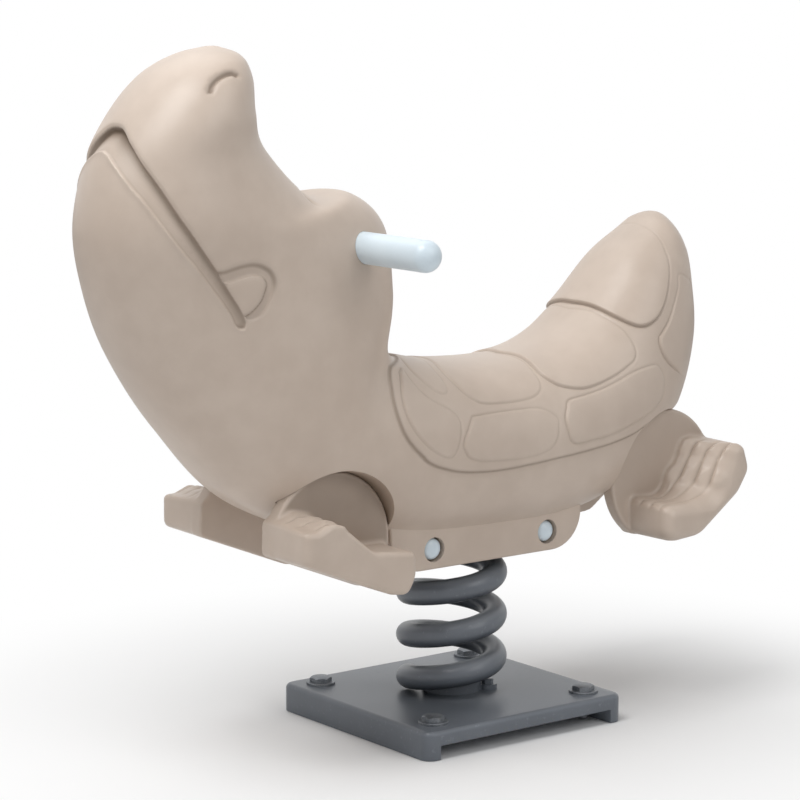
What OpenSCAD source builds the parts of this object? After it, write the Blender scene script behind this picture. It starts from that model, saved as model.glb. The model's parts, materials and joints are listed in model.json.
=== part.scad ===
// Spring rider for a playground: a turtle-shaped hollow body on one coil spring and a steel ground plate.
// Millimetres. +X is forward (the head), +Y is the animal's left, +Z is up.
// The origin is on the ground under the middle of the plate, on the axis of the spring.

/* [Ground plate] */
// Length of the ground plate, fore and aft
plate_x = 304; // [280:1:360]
// Width of the ground plate
plate_y = 298; // [280:1:360]
// Thickness of the ground plate
plate_t = 18; // [14:0.5:24]
// Depth of the front and rear flanges under the plate
flange_h = 17; // [14:0.5:30]
// Thickness of the front and rear flanges
flange_t = 20; // [12:0.5:24]
// Rounding of the plate's upper edges
plate_r = 6; // [2:0.5:8]
// Rounding of the plate's corners, seen from above
plate_corner = 14; // [9:0.5:20]
// Distance of the anchor bolts from the plate's edges
anchor_edge = 35; // [34:0.5:50]
// Shank diameter of the anchor bolts
anchor_d = 16; // [12:0.5:18]
// How much thinner the anchor bolts' ends are below the plate, on the diameter
anchor_step = 2; // [1:0.25:3]
// Width across flats of the anchor bolt heads
anchor_af = 24; // [22:0.5:28]
// Height of the anchor bolt heads
anchor_head_h = 6; // [5:0.5:10]
// Diameter of the anchor washers
anchor_washer_d = 36; // [34:0.5:44]
// Thickness of the anchor washers
anchor_washer_t = 3; // [2:0.25:5]
// Height of the anchor bolts' tips above the ground
anchor_tip = 3; // [2:0.5:8]

/* [Coil spring] */
// Diameter of the spring wire
wire_d = 30; // [24:0.5:34]
// Mean diameter of the coil
coil_d = 107; // [96:0.5:120]
// Rise of the coil in one turn
coil_pitch = 53; // [46:0.5:62]
// Number of turns
coil_turns = 3.64; // [3:0.02:4.2]
// Direction of the lower wire end, from the front towards the left
coil_start = -42; // [-90:1:0]

/* [Spring hubs] */
// Height of the hub inside the lower end of the coil
lower_hub_h = 18; // [14:0.5:24]
// Height of the hub inside the upper end of the coil
upper_hub_h = 30; // [22:0.5:36]
// Gap between the coil and a hub
hub_gap = 0.6; // [0.3:0.05:1.5]
// Bore through each hub
hub_bore = 20; // [10:0.5:26]
// Thickness of the bolting ears on the lower hub
ear_t = 6; // [4:0.5:8]
// Width of an ear where it leaves the hub
ear_w = 19; // [14:0.5:22]
// Diameter of the eye at the end of an ear
ear_eye_d = 24; // [22:0.5:28]
// Shank diameter of the hub bolts
hub_bolt_d = 8; // [6:0.5:9]
// Width across flats of the hub bolt heads and nuts
hub_bolt_af = 13; // [12:0.5:15]
// Height of the hub bolt heads and nuts
hub_bolt_head_h = 6; // [4:0.5:8]
// Radius of the circle of the upper hub bolts
upper_bolt_r = 24; // [21:0.5:27]

/* [Spring head] */
// Thickness of the steel plate above the spring
head_t = 8; // [5:0.5:12]
// Thickness of the lugs that hang from that plate
lug_t = 5; // [4:0.5:8]
// Width of each lug
lug_w = 34; // [30:0.5:38]
// Length of the plate beyond a lug
head_over = 4; // [2:0.5:8]
// Height of the lugs' lower ends above the underside of the keel
lug_rise = 6; // [4:0.5:10]
// Height of the keel below the underside of the head plate
keel_drop = 48; // [44:0.5:60]
// Height of the cross bolts above the underside of the keel
bolt_rise = 24; // [20:0.5:28]

/* [Keel] */
// Wall of the keel beside the coil
keel_wall = 5; // [4:0.25:8]
// Gap between the coil and the keel
coil_gap = 4.5; // [3:0.25:8]
// Wall of the keel between the cross bolt washer and the lug
seat_wall = 4; // [3:0.25:6]
// Length of the keel beyond each cross bolt
keel_end = 62; // [48:1:80]
// Rounding of the keel's lower corners, seen from the side
keel_r = 45; // [20:1:60]
// Lean of each end of the keel, from its underside to the middle of the body
keel_lean = 20; // [0:1:40]
// Gap between the coil and a spacer tube
spacer_gap = 8; // [5:0.5:15]
// Outer diameter of the spacer tubes
spacer_d = 22; // [18:0.5:26]

/* [Cross bolts] */
// Shank diameter of the cross bolts
cross_d = 12; // [10:0.5:14]
// Width across flats of the cross bolt heads and nuts
cross_af = 18; // [17:0.25:19]
// Height of the cross bolt heads and nuts
cross_head_h = 7; // [5:0.25:8]
// Diameter of the washers under them
cross_washer_d = 27; // [25:0.25:28]
// Thickness of the washers under them
cross_washer_t = 2; // [1.5:0.25:3]
// Diameter of the recess around each bolt end
recess_d = 30; // [29:0.25:34]
// Outer diameter of the white caps
cap_d = 26; // [25.5:0.25:28]
// Wall of the white caps
cap_wall = 1.6; // [1.2:0.1:2]
// Height of the straight side of a white cap
cap_side = 5; // [4.5:0.25:6]
// Height of the dome of a white cap
cap_dome = 7; // [6:0.25:8]

/* [Body] */
// Reach of the snout ahead of the spring's axis
head_reach = 513; // [450:1:570]
// Wall of the moulded body
body_wall = 6; // [4:0.25:8]
// Roundness of the body's sections, where 2 is an ellipse
body_round = 2.3; // [2:0.05:2.8]
// Roundness of the head's sections, where 2 is an ellipse
head_round = 2.05; // [2:0.05:2.6]

/* [Handle] */
// Length of the handlebar over its tips
bar_len = 430; // [380:2:480]
// Diameter of the grips
grip_d = 37; // [34:0.5:44]
// Length of the rounded grip end
grip_dome = 17; // [10:0.5:20]
// Half the distance between the grip seats in the neck
grip_seat = 64; // [58:0.5:70]
// Wall of the grips around the steel tube
grip_wall = 4.5; // [3:0.25:7]
// Wall of the steel tube
tube_wall = 3; // [2:0.25:5]
// Closed end of the grips beyond the tube
grip_end = 18; // [14:0.5:30]
// Handle position forward of the spring
bar_x = 194; // [185:1:205]
// Handle position above the underside of the keel
bar_rise = 391.5; // [380:0.5:400]

/* [Footrests] */
// Radius of the round wall of a footrest
disc_r = 84; // [78:0.5:86]
// Thickness of that wall
disc_t = 20; // [18:0.5:28]
// Half the distance between left and right footrest seats
foot_seat = 63; // [58:0.5:68]
// Half the width over the footrests
foot_out = 152; // [135:1:180]
// Front footrest centre, forward of the spring
front_x = 242; // [236:1:248]
// Front footrest centre above the underside of the keel
front_rise = 52; // [46:1:58]
// Rear footrest centre, behind the spring
rear_x = 272; // [266:1:278]
// Rear footrest centre above the underside of the keel
rear_rise = 74; // [68:1:80]
// Diameter of the tie rods between left and right footrests
rod_d = 12; // [8:0.5:14]
// Outer diameter of the threaded inserts in the footrests
insert_d = 20; // [17:0.5:24]
// Depth of those inserts
insert_t = 15; // [12:0.5:15]
// Height of a tie rod above the centre of its footrests
rod_rise = 38; // [34:0.5:46]

/* [Fit] */
// Clearance of a bolt, rod or tube in its hole, on the diameter
hole_gap = 0.6; // [0.3:0.1:1.2]
// Clearance between parts that seat in each other
seat_gap = 0.3; // [0.2:0.05:0.6]

/* [Hidden] */

// Facets of round parts
$fn = 64;
over = 1;

// Colours of the finishes
beige = [0.76, 0.69, 0.62];
white = [0.90, 0.94, 0.97];
paint = [0.27, 0.30, 0.34];
zinc = [0.62, 0.64, 0.66];

// Heights from the ground up
plate_h = flange_h + plate_t;
coil_rise = coil_pitch * coil_turns;
head_z = plate_h + coil_rise + wire_d;
keel_z = head_z - keel_drop;
bolt_z = keel_z + bolt_rise;
bar_z = keel_z + bar_rise;

// Spring and hubs
coil_r = coil_d / 2;
coil_out_r = coil_r + wire_d / 2;
// Sides of the wire, and rings of it in a turn
wire_sides = 6;
wire_rings = 8;
// Radius that the flats of the wire leave free inside the coil
coil_in_r = (coil_r - wire_d / 2 * cos(180 / wire_sides)) * cos(180 / wire_rings);
hub_r = coil_in_r - hub_gap;
ear_angles = [143, 233];
hub_bolt_r = hub_bolt_af / sqrt(3);
ear_r = hub_r + hub_bolt_r + seat_gap;
// End of a lower hub bolt below its nut
hub_bolt_tail = 3;

// Keel, lugs and cross bolts, half sizes across the rider
keel_y = coil_out_r + coil_gap + keel_wall;
recess_depth = cross_washer_t + cap_side + cap_dome;
seat_y = keel_y - recess_depth;
slot_y = seat_y - seat_wall;
bolt_x = coil_out_r + spacer_gap + spacer_d / 2;
keel_x = bolt_x + keel_end;
head_x = bolt_x + lug_w / 2 + head_over;
washer_y = seat_y + cross_washer_t;

// Footrests
disc_out = foot_seat + disc_t;
foot_places = [[front_x, keel_z + front_rise], [-rear_x, keel_z + rear_rise]];

// Body sections from the head to the tail, each across the middle line of the animal:
// back X, back height, belly X, belly height, half width, narrowing towards the back.
// Heights are above the underside of the keel.
drawn_sections = [
    [334, 621, 358, 621,  12, 0.00],
    [317, 612, 387, 612,  47, 0.00],
    [308, 587, 429, 588,  73, 0.00],
    [307, 550, 468, 545,  89, 0.00],
    [291, 508, 499, 492,  92, 0.05],
    [227, 449, 513, 418, 103, 0.08],
    [171, 451, 500, 340, 104, 0.06],
    [125, 415, 472, 271, 106, 0.05],
    [115, 342, 412, 185, 107, 0.05],
    [124, 271, 317,  92, 108, 0.04],
    [ 72, 246, 159,  34, 112, 0.00],
    [-22, 237,  -8,  25, 118, 0.00],
    [-100, 241, -143, 32, 118, 0.00],
    [-156, 261, -252, 71, 111, 0.00],
    [-200, 297, -322, 143, 98, 0.00],
    [-249, 353, -357, 223, 80, 0.00],
    [-292, 383, -358, 292, 62, 0.00],
    [-311, 396, -356, 343, 44, 0.00],
    [-324, 400, -349, 378, 18, 0.00]
];
section_last = len(drawn_sections) - 1;
drawn_reach = max([for (s = drawn_sections) s[2]]);
// The head follows the reach of the snout from here on, ahead of the front footrests
reach_start = front_x + disc_r;
body_sections = [for (s = drawn_sections) [follow(s[0]), s[1], follow(s[2]), s[3], s[4], s[5]]];
// Top of the keel inside the body, at the middle of the section above the spring
keel_top = (body_sections[11][1] + body_sections[11][3]) / 2;
// Places, counted in sections, where the head's own roundness ends and the body's begins
head_end = 4;
neck_end = 6;
// Rise of the closing point at the head and the tail
cap_rise = 2;
// Steps between sections and points around them, for the outside and for the hollow
skin_steps = 3;
skin_sides = 40;
hollow_steps = 2;
hollow_sides = 24;
// How far the hollow stays short of the first and last section
hollow_inset = 2;
// Most of a section's length that one wall takes where the skin runs along the section
wall_share = 0.12;
// Step along the sections that gives the run of the skin
run_step = 0.1;

// Footrest outlines seen from the side, from the centre of the round wall: X, height, corner radius.
// The sole runs under the footrest from its toes, and the top from the heel back to the toes.
front_sole = [[84, -4, 8], [-38, -54, 20], [-60, -57, 10]];
front_top = [[-78, -34, 14], [-78, -9, 10], [-14, -4, 18], [30, 37, 14], [56, 41, 14], [84, 30, 8]];
rear_sole = [[-93, 2, 12], [-6, -66, 24], [30, -70, 20], [57, -67, 16]];
rear_top = [[57, -24, 8], [-10, -25, 26], [-50, 44, 12], [-78, 41, 12]];
corner_steps = 5;
dome_steps = 8;
// Rounding of corners that are left sharp
sharp_r = 0.5;

// One value of a smooth curve through four control values
function smooth(a, b, c, d, f) =
    0.5 * (2 * b + (c - a) * f + (2 * a - 5 * b + 4 * c - d) * f * f + (3 * b - a - 3 * c + d) * f * f * f);

// Place along the body for the set reach of the snout
function follow(x) =
    x < reach_start ? x : reach_start + (x - reach_start) * (head_reach - reach_start) / (drawn_reach - reach_start);

// Section of the body at place t, counted in sections from the head
function section_at(t) =
    let (i = min(floor(t), section_last - 1), f = t - i)
    let (b = body_sections[i], c = body_sections[i + 1])
    let (a = i > 0 ? body_sections[i - 1] : 2 * b - c)
    let (d = i + 2 <= section_last ? body_sections[i + 2] : 2 * c - b)
    smooth(a, b, c, d, f);

function power(v, e) = sign(v) * pow(abs(v), e);

// Section of the hollow, a wall inside the body measured square to the skin at the back and the belly
function hollow_section(t) =
    let (s = section_at(t), run = section_at(t + run_step) - section_at(t - run_step))
    let (line = [s[2] - s[0], s[3] - s[1]], length = norm(line))
    let (draw = [for (i = [0, 2])
        let (along = [run[i], run[i + 1]], slant = abs(cross(along, line)) / norm(along) / length)
        min(body_wall / max(slant, body_wall / length), wall_share * length) / length])
    [s[0] + draw[0] * line[0], s[1] + draw[0] * line[1], s[2] - draw[1] * line[0], s[3] - draw[1] * line[1],
        s[4] - body_wall, s[5]];

// Roundness of the section at place t
function round_at(t) = lookup(t, [[head_end, head_round], [neck_end, body_round]]);

// Ring of points of one section
function section_ring(s, sides, roundness) =
    let (half = [s[0] - s[2], s[1] - s[3]] / 2, mid = [s[0] + s[2], s[1] + s[3]] / 2, e = 2 / roundness)
    [for (k = [0:sides - 1])
        let (a = 360 * k / sides, c = power(cos(a), e), y = s[4] * power(sin(a), e) * (1 - s[5] * c))
        [mid[0] + half[0] * c, y, keel_z + mid[1] + half[1] * c]];

function middle(ring) = [for (k = [0:2]) [for (p = ring) p[k]] * [for (p = ring) 1] / len(ring)];

// Closing point beyond an end ring, away from its neighbour
function closing(ring, next, rise) =
    let (m = middle(ring), d = m - middle(next))
    m + rise * d / norm(d);

// Closed skin over rings of points, with a point at each end
module skin(rings, rise) {
    n = len(rings);
    m = len(rings[0]);
    points = concat([for (r = rings, p = r) p],
        [closing(rings[0], rings[1], rise), closing(rings[n - 1], rings[n - 2], rise)]);
    sides = [for (i = [0:n - 2], k = [0:m - 1])
        let (a = i * m + k, b = i * m + (k + 1) % m)
        each [[a, b + m, b], [a, a + m, b + m]]];
    first = [for (k = [0:m - 1]) [n * m, k, (k + 1) % m]];
    last = [for (k = [0:m - 1]) [n * m + 1, (n - 1) * m + (k + 1) % m, (n - 1) * m + k]];
    polyhedron(points, concat(sides, first, last));
}

module body_outside() {
    skin([for (j = [0:section_last * skin_steps])
        let (t = j / skin_steps)
        section_ring(section_at(t), skin_sides, round_at(t))], cap_rise);
}

// Hollow of the body, clear of every seat by the wall
module body_hollow() {
    count = section_last * hollow_steps;
    span = section_last - 2 * hollow_inset;
    difference() {
        skin([for (j = [0:count])
            let (t = hollow_inset + span * j / count)
            section_ring(hollow_section(t), hollow_sides, round_at(t))], 0);
        keel_pocket(body_wall);
        for (side = [-1, 1]) {
            for (p = foot_places)
                across(p, side) cylinder(r = disc_r + seat_gap + body_wall, h = foot_out);
            across([bar_x, bar_z], side, grip_seat - body_wall)
                cylinder(d = grip_d + 2 * (seat_gap + body_wall), h = foot_out);
        }
    }
}

// Places a shape that grows outwards across the rider, at an X and height, on one side
module across(place, side, start = foot_seat - body_wall) {
    translate([place[0], side * start, place[1]]) rotate([-90 * side, 0, 0]) children();
}

// Hexagon with a width across flats
module hex(af, h) {
    cylinder(d = af * 2 / sqrt(3), h = h, $fn = 6);
}

module ring(outer, inner, h) {
    difference() {
        cylinder(d = outer, h = h);
        translate([0, 0, -over]) cylinder(d = inner, h = h + 2 * over);
    }
}

// Outline of a round end: its radius, the height where it starts and its own height
function dome(r, start, rise) = [for (k = [0:dome_steps])
    let (a = 90 * k / dome_steps)
    [r * cos(a), start + rise * sin(a)]];

// Outline with rounded corners, from points that each give X, Y and a corner radius
function rounded(list) = [for (i = [0:len(list) - 1])
    let (n = len(list), p = list[i], a = list[(i + n - 1) % n], b = list[(i + 1) % n])
    let (o = [p[0], p[1]], u = [a[0] - p[0], a[1] - p[1]], v = [b[0] - p[0], b[1] - p[1]])
    let (eu = u / norm(u), ev = v / norm(v), turn = acos(eu * ev))
    let (reach = p[2] / tan(turn / 2), axis = (eu + ev) / norm(eu + ev))
    let (mid = o + axis * p[2] / sin(turn / 2))
    let (start = o + eu * reach - mid, finish = o + ev * reach - mid)
    let (from = atan2(start[1], start[0]), raw = atan2(finish[1], finish[0]) - from)
    let (sweep = raw > 180 ? raw - 360 : (raw < -180 ? raw + 360 : raw))
    for (k = [0:corner_steps])
        mid + p[2] * [cos(from + sweep * k / corner_steps), sin(from + sweep * k / corner_steps)]];

// Solid with a side outline in X and height, between two places across the rider
module side_solid(outline, y_from, y_to) {
    translate([0, y_to, 0]) rotate([90, 0, 0]) linear_extrude(y_to - y_from) polygon(rounded(outline));
}

// Rectangle on the ground with two rounded upper corners, as an outline
function plate_end(w) =
    [[-w / 2, 0, sharp_r], [w / 2, 0, sharp_r], [w / 2, plate_h, plate_r], [-w / 2, plate_h, plate_r]];

// Ground plate

module base_plate() {
    color(paint) difference() {
        intersection() {
            side_solid(plate_end(plate_x), -plate_y / 2, plate_y / 2);
            rotate([0, 0, 90]) side_solid(plate_end(plate_y), -plate_x / 2, plate_x / 2);
            translate([0, 0, -over]) linear_extrude(plate_h + 2 * over)
                polygon(rounded([for (c = [[-1, -1], [1, -1], [1, 1], [-1, 1]])
                    [c[0] * plate_x / 2, c[1] * plate_y / 2, plate_corner]]));
        }
        translate([0, 0, flange_h / 2 - over]) cube([plate_x - 2 * flange_t, plate_y + 2 * over,
            flange_h + 2 * over], center = true);
        at_anchors() cylinder(d = anchor_d + hole_gap, h = plate_h + over);
        at_ears() cylinder(d = hub_bolt_d + hole_gap, h = plate_h + over);
    }
}

module at_anchors() {
    for (x = [-1, 1], y = [-1, 1])
        translate([x * (plate_x / 2 - anchor_edge), y * (plate_y / 2 - anchor_edge), 0]) children();
}

module anchor_bolts() {
    head_base = plate_h + anchor_washer_t;
    end_d = anchor_d - anchor_step;
    color(zinc) at_anchors() {
        translate([0, 0, anchor_tip]) cylinder(d = end_d, h = flange_h - anchor_tip);
        translate([0, 0, flange_h]) cylinder(d1 = end_d, d2 = anchor_d, h = anchor_step);
        translate([0, 0, flange_h + anchor_step])
            cylinder(d = anchor_d, h = head_base + over - flange_h - anchor_step);
        translate([0, 0, head_base]) hex(anchor_af, anchor_head_h);
    }
}

module anchor_washers() {
    color(zinc) at_anchors() translate([0, 0, plate_h])
        ring(anchor_washer_d, anchor_d + hole_gap, anchor_washer_t);
}

// Spring and its hubs

module at_ears() {
    for (a = ear_angles)
        rotate([0, 0, a]) translate([ear_r, 0, 0]) children();
}

module lower_hub() {
    color(paint) difference() {
        union() {
            translate([0, 0, plate_h]) cylinder(r = hub_r, h = lower_hub_h);
            for (a = ear_angles)
                rotate([0, 0, a]) translate([0, -ear_w / 2, plate_h]) cube([ear_r, ear_w, ear_t]);
            at_ears() translate([0, 0, plate_h]) cylinder(d = ear_eye_d, h = ear_t);
        }
        translate([0, 0, plate_h - over]) cylinder(d = hub_bore, h = lower_hub_h + 2 * over);
        at_ears() translate([0, 0, plate_h - over]) cylinder(d = hub_bolt_d + hole_gap, h = ear_t + 2 * over);
    }
}

module lower_hub_bolts() {
    tip_z = flange_h - hub_bolt_head_h - hub_bolt_tail;
    color(zinc) at_ears() {
        translate([0, 0, tip_z]) cylinder(d = hub_bolt_d, h = plate_h + ear_t - tip_z + over);
        translate([0, 0, plate_h + ear_t]) hex(hub_bolt_af, hub_bolt_head_h);
    }
}

module lower_hub_nuts() {
    color(zinc) at_ears() translate([0, 0, flange_h - hub_bolt_head_h]) difference() {
        hex(hub_bolt_af, hub_bolt_head_h);
        translate([0, 0, -over]) cylinder(d = hub_bolt_d + hole_gap / 2, h = hub_bolt_head_h + 2 * over);
    }
}

// Middle of the wire at a share of its length
function coil_point(f) =
    let (a = coil_start + 360 * coil_turns * f)
    [coil_r * cos(a), coil_r * sin(a), plate_h + wire_d / 2 + coil_rise * f];

// Ring of the wire at a share of its length, square to the coil
function wire_ring(f) =
    let (a = coil_start + 360 * coil_turns * f, lean = atan(coil_pitch / (PI * coil_d)))
    let (out = [cos(a), sin(a), 0], up = [sin(a) * sin(lean), -cos(a) * sin(lean), cos(lean)])
    [for (k = [0:wire_sides - 1])
        let (b = 360 * (k + 0.5) / wire_sides)
        coil_point(f) + wire_d / 2 * (cos(b) * out + sin(b) * up)];

wire_count = ceil(coil_turns * wire_rings);
// Least distance between wire points at least half a turn apart, less the wire itself
wire_points = [for (j = [0:wire_count]) coil_point(j / wire_count)];
wire_self_gap = min([for (i = [0:wire_count], j = [i + wire_rings / 2:1:wire_count])
    norm(wire_points[i] - wire_points[j])]) - wire_d;
echo(wire_self_gap = wire_self_gap);

module spring() {
    color(paint) skin([for (j = [wire_count:-1:0]) wire_ring(j / wire_count)], 0);
}

module upper_hub() {
    color(paint) translate([0, 0, head_z - upper_hub_h]) difference() {
        cylinder(r = hub_r, h = upper_hub_h);
        translate([0, 0, -over]) cylinder(d = hub_bore, h = upper_hub_h + 2 * over);
        at_upper_bolts() translate([0, 0, -over])
            cylinder(d = hub_bolt_d + hole_gap, h = upper_hub_h + 2 * over);
    }
}

module at_upper_bolts() {
    for (k = [0:2])
        rotate([0, 0, 120 * k]) translate([upper_bolt_r, 0, 0]) children();
}

module upper_hub_bolts() {
    color(zinc) at_upper_bolts() {
        translate([0, 0, head_z - upper_hub_h - hub_bolt_head_h]) hex(hub_bolt_af, hub_bolt_head_h);
        translate([0, 0, head_z - upper_hub_h - over])
            cylinder(d = hub_bolt_d, h = upper_hub_h + head_t + over);
    }
}

// Spring head and cross bolts

module at_bolts() {
    for (x = [-1, 1])
        translate([x * bolt_x, 0, bolt_z]) children();
}

// Holes for the cross bolts, right through the keel
module cross_holes() {
    at_bolts() rotate([90, 0, 0])
        cylinder(d = cross_d + hole_gap, h = 2 * (keel_y + over), center = true);
}

module spring_head() {
    lug_out = slot_y - seat_gap;
    lug_low = keel_z + lug_rise;
    color(paint) difference() {
        union() {
            translate([-head_x, -lug_out, head_z]) cube([2 * head_x, 2 * lug_out, head_t]);
            for (x = [-1, 1], y = [-1, 1])
                translate([x * bolt_x - lug_w / 2, y * (lug_out - lug_t / 2) - lug_t / 2, lug_low])
                    cube([lug_w, lug_t, head_z + head_t / 2 - lug_low]);
        }
        at_upper_bolts() translate([0, 0, head_z - over])
            cylinder(d = hub_bolt_d + hole_gap / 2, h = head_t + 2 * over);
        cross_holes();
    }
}

module cross_bolts() {
    color(zinc) at_bolts() {
        across([0, 0], 1, washer_y) hex(cross_af, cross_head_h);
        across([0, 0], -1, -washer_y - over) cylinder(d = cross_d, h = 2 * washer_y + cross_head_h + over);
    }
}

module cross_washers() {
    color(zinc) at_bolts() for (side = [-1, 1])
        across([0, 0], side, seat_y) ring(cross_washer_d, cross_d + hole_gap, cross_washer_t);
}

module cross_nuts() {
    color(zinc) at_bolts() across([0, 0], -1, washer_y) difference() {
        hex(cross_af, cross_head_h);
        translate([0, 0, -over]) cylinder(d = cross_d + hole_gap / 2, h = cross_head_h + 2 * over);
    }
}

module spacer_tubes() {
    half = slot_y - seat_gap - lug_t;
    color(zinc) at_bolts() across([0, 0], 1, -half) ring(spacer_d, cross_d + hole_gap, 2 * half);
}

module bolt_caps() {
    room = cross_head_h + seat_gap;
    color(white) at_bolts() for (side = [-1, 1])
        across([0, 0], side, washer_y) rotate_extrude() polygon(concat(
            [[cap_d / 2 - cap_wall, 0], [cap_d / 2, 0]], dome(cap_d / 2, cap_side, cap_dome),
            [[0, room], [cap_d / 2 - cap_wall, room]]));
}

// Body

// Hollow of the keel for the top of the coil and the spring head, grown by a wall
module keel_pocket(grow) {
    top = head_z + head_t + seat_gap + grow;
    intersection() {
        union() {
            translate([0, 0, keel_z - over])
                cylinder(r = coil_out_r + coil_gap + grow, h = top - keel_z + over);
            translate([-head_x - seat_gap - grow, -slot_y - grow, keel_z - over])
                cube([2 * (head_x + seat_gap + grow), 2 * (slot_y + grow), top - keel_z + over]);
        }
        translate([-keel_x, -keel_y, keel_z - over]) cube([2 * keel_x, 2 * keel_y, top - keel_z + over]);
    }
}

module body_shell() {
    color(beige) difference() {
        union() {
            body_outside();
            side_solid([[-keel_x, keel_z, keel_r], [keel_x, keel_z, keel_r],
                [keel_x - keel_lean, keel_z + keel_top, sharp_r],
                [keel_lean - keel_x, keel_z + keel_top, sharp_r]], -keel_y, keel_y);
        }
        body_hollow();
        keel_pocket(0);
        cross_holes();
        for (side = [-1, 1]) {
            at_bolts() across([0, 0], side, seat_y) cylinder(d = recess_d, h = foot_out);
            for (p = foot_places) {
                across(p, side, foot_seat) cylinder(r = disc_r + seat_gap, h = foot_out);
                across([p[0], p[1] + rod_rise], side, 0) cylinder(d = rod_d + hole_gap, h = foot_seat + over);
            }
            across([bar_x, bar_z], side, grip_seat) cylinder(d = grip_d + 2 * seat_gap, h = foot_out);
            across([bar_x, bar_z], side, 0) cylinder(d = tube_d + hole_gap, h = grip_seat + over);
        }
    }
}

// Handle

tube_half = bar_len / 2 - grip_end;
tube_d = grip_d - 2 * grip_wall;

module handle_tube() {
    color(zinc) across([bar_x, bar_z], 1, -tube_half)
        ring(tube_d, tube_d - 2 * tube_wall, 2 * tube_half);
}

module grip(side) {
    grip_len = bar_len / 2 - grip_seat;
    bore_end = tube_half + seat_gap - grip_seat;
    color(white) across([bar_x, bar_z], side, grip_seat) difference() {
        rotate_extrude() polygon(concat(
            [[0, 0], [grip_d / 2, 0]], dome(grip_d / 2, grip_len - grip_dome, grip_dome)));
        translate([0, 0, -over]) cylinder(d = tube_d + hole_gap / 2, h = bore_end + over);
    }
}

module grip_left() {
    grip(1);
}

module grip_right() {
    grip(-1);
}

// Footrests

// Round wall of a footrest, ending at the line of its sole
module foot_wall(sole) {
    high = 2 * disc_r;
    heel = sole[len(sole) - 1];
    line = concat([for (p = sole) [p[0], p[1] + sharp_r]], [[sign(heel[0]) * high, heel[1] + disc_r / 2],
        [sign(heel[0]) * high, high], [-sign(heel[0]) * high, high], [-sign(heel[0]) * high, sole[0][1]]]);
    linear_extrude(disc_t) intersection() {
        circle(r = disc_r);
        polygon(line);
    }
}

module foot(place, sole, top, side) {
    color(beige) difference() {
        translate([place[0], 0, place[1]]) {
            translate([0, side > 0 ? disc_out : -foot_seat, 0]) rotate([90, 0, 0]) foot_wall(sole);
            side_solid(concat(sole, top), side > 0 ? foot_seat : -foot_out, side > 0 ? foot_out : -foot_seat);
        }
        across([place[0], place[1] + rod_rise], side, foot_seat - over)
            cylinder(d = insert_d + seat_gap, h = insert_t + seat_gap + over);
    }
}

module front_foot_left() {
    foot(foot_places[0], front_sole, front_top, 1);
}

module front_foot_right() {
    foot(foot_places[0], front_sole, front_top, -1);
}

module rear_foot_left() {
    foot(foot_places[1], rear_sole, rear_top, 1);
}

module rear_foot_right() {
    foot(foot_places[1], rear_sole, rear_top, -1);
}

module tie_rod(place) {
    half = foot_seat + insert_t;
    color(zinc) across([place[0], place[1] + rod_rise], 1, -half) cylinder(d = rod_d, h = 2 * half);
}

module front_tie_rod() {
    tie_rod(foot_places[0]);
}

module rear_tie_rod() {
    tie_rod(foot_places[1]);
}

module foot_inserts() {
    color(zinc) for (p = foot_places, side = [-1, 1])
        across([p[0], p[1] + rod_rise], side, foot_seat) ring(insert_d, rod_d + hole_gap / 2, insert_t);
}

base_plate();
anchor_bolts();
anchor_washers();
lower_hub();
lower_hub_bolts();
lower_hub_nuts();
spring();
upper_hub();
upper_hub_bolts();
spring_head();
cross_bolts();
cross_washers();
cross_nuts();
spacer_tubes();
bolt_caps();
body_shell();
handle_tube();
grip_left();
grip_right();
front_foot_left();
front_foot_right();
rear_foot_left();
rear_foot_right();
front_tie_rod();
rear_tie_rod();
foot_inserts();
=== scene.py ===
import json
import math

import bmesh
import bpy
import numpy as np
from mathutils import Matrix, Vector
from mathutils.geometry import delaunay_2d_cdt
from mathutils.kdtree import KDTree


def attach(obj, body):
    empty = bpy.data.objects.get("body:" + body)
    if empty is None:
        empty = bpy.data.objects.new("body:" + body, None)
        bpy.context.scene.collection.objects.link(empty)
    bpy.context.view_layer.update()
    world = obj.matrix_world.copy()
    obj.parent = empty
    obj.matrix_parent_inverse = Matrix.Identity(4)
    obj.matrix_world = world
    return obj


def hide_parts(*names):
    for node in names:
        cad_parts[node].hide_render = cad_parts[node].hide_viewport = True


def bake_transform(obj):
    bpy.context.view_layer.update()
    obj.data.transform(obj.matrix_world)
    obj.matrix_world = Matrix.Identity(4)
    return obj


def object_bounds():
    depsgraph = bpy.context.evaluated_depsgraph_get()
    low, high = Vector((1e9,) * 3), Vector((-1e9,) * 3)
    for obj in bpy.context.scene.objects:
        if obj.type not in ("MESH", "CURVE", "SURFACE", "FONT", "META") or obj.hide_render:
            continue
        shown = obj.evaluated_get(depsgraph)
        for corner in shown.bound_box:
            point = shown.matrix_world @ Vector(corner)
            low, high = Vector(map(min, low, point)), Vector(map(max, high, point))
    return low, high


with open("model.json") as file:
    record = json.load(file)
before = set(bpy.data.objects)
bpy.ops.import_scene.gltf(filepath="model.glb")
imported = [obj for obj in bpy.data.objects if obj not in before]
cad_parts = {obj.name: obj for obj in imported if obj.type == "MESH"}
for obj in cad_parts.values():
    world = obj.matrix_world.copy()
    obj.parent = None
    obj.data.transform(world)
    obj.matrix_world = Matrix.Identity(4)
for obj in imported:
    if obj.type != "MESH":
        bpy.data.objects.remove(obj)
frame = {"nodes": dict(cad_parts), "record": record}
cad_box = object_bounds()

# Millimetres in the frame of the model: +X forward, +Y the animal's left, +Z up.
MM = 0.001

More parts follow.
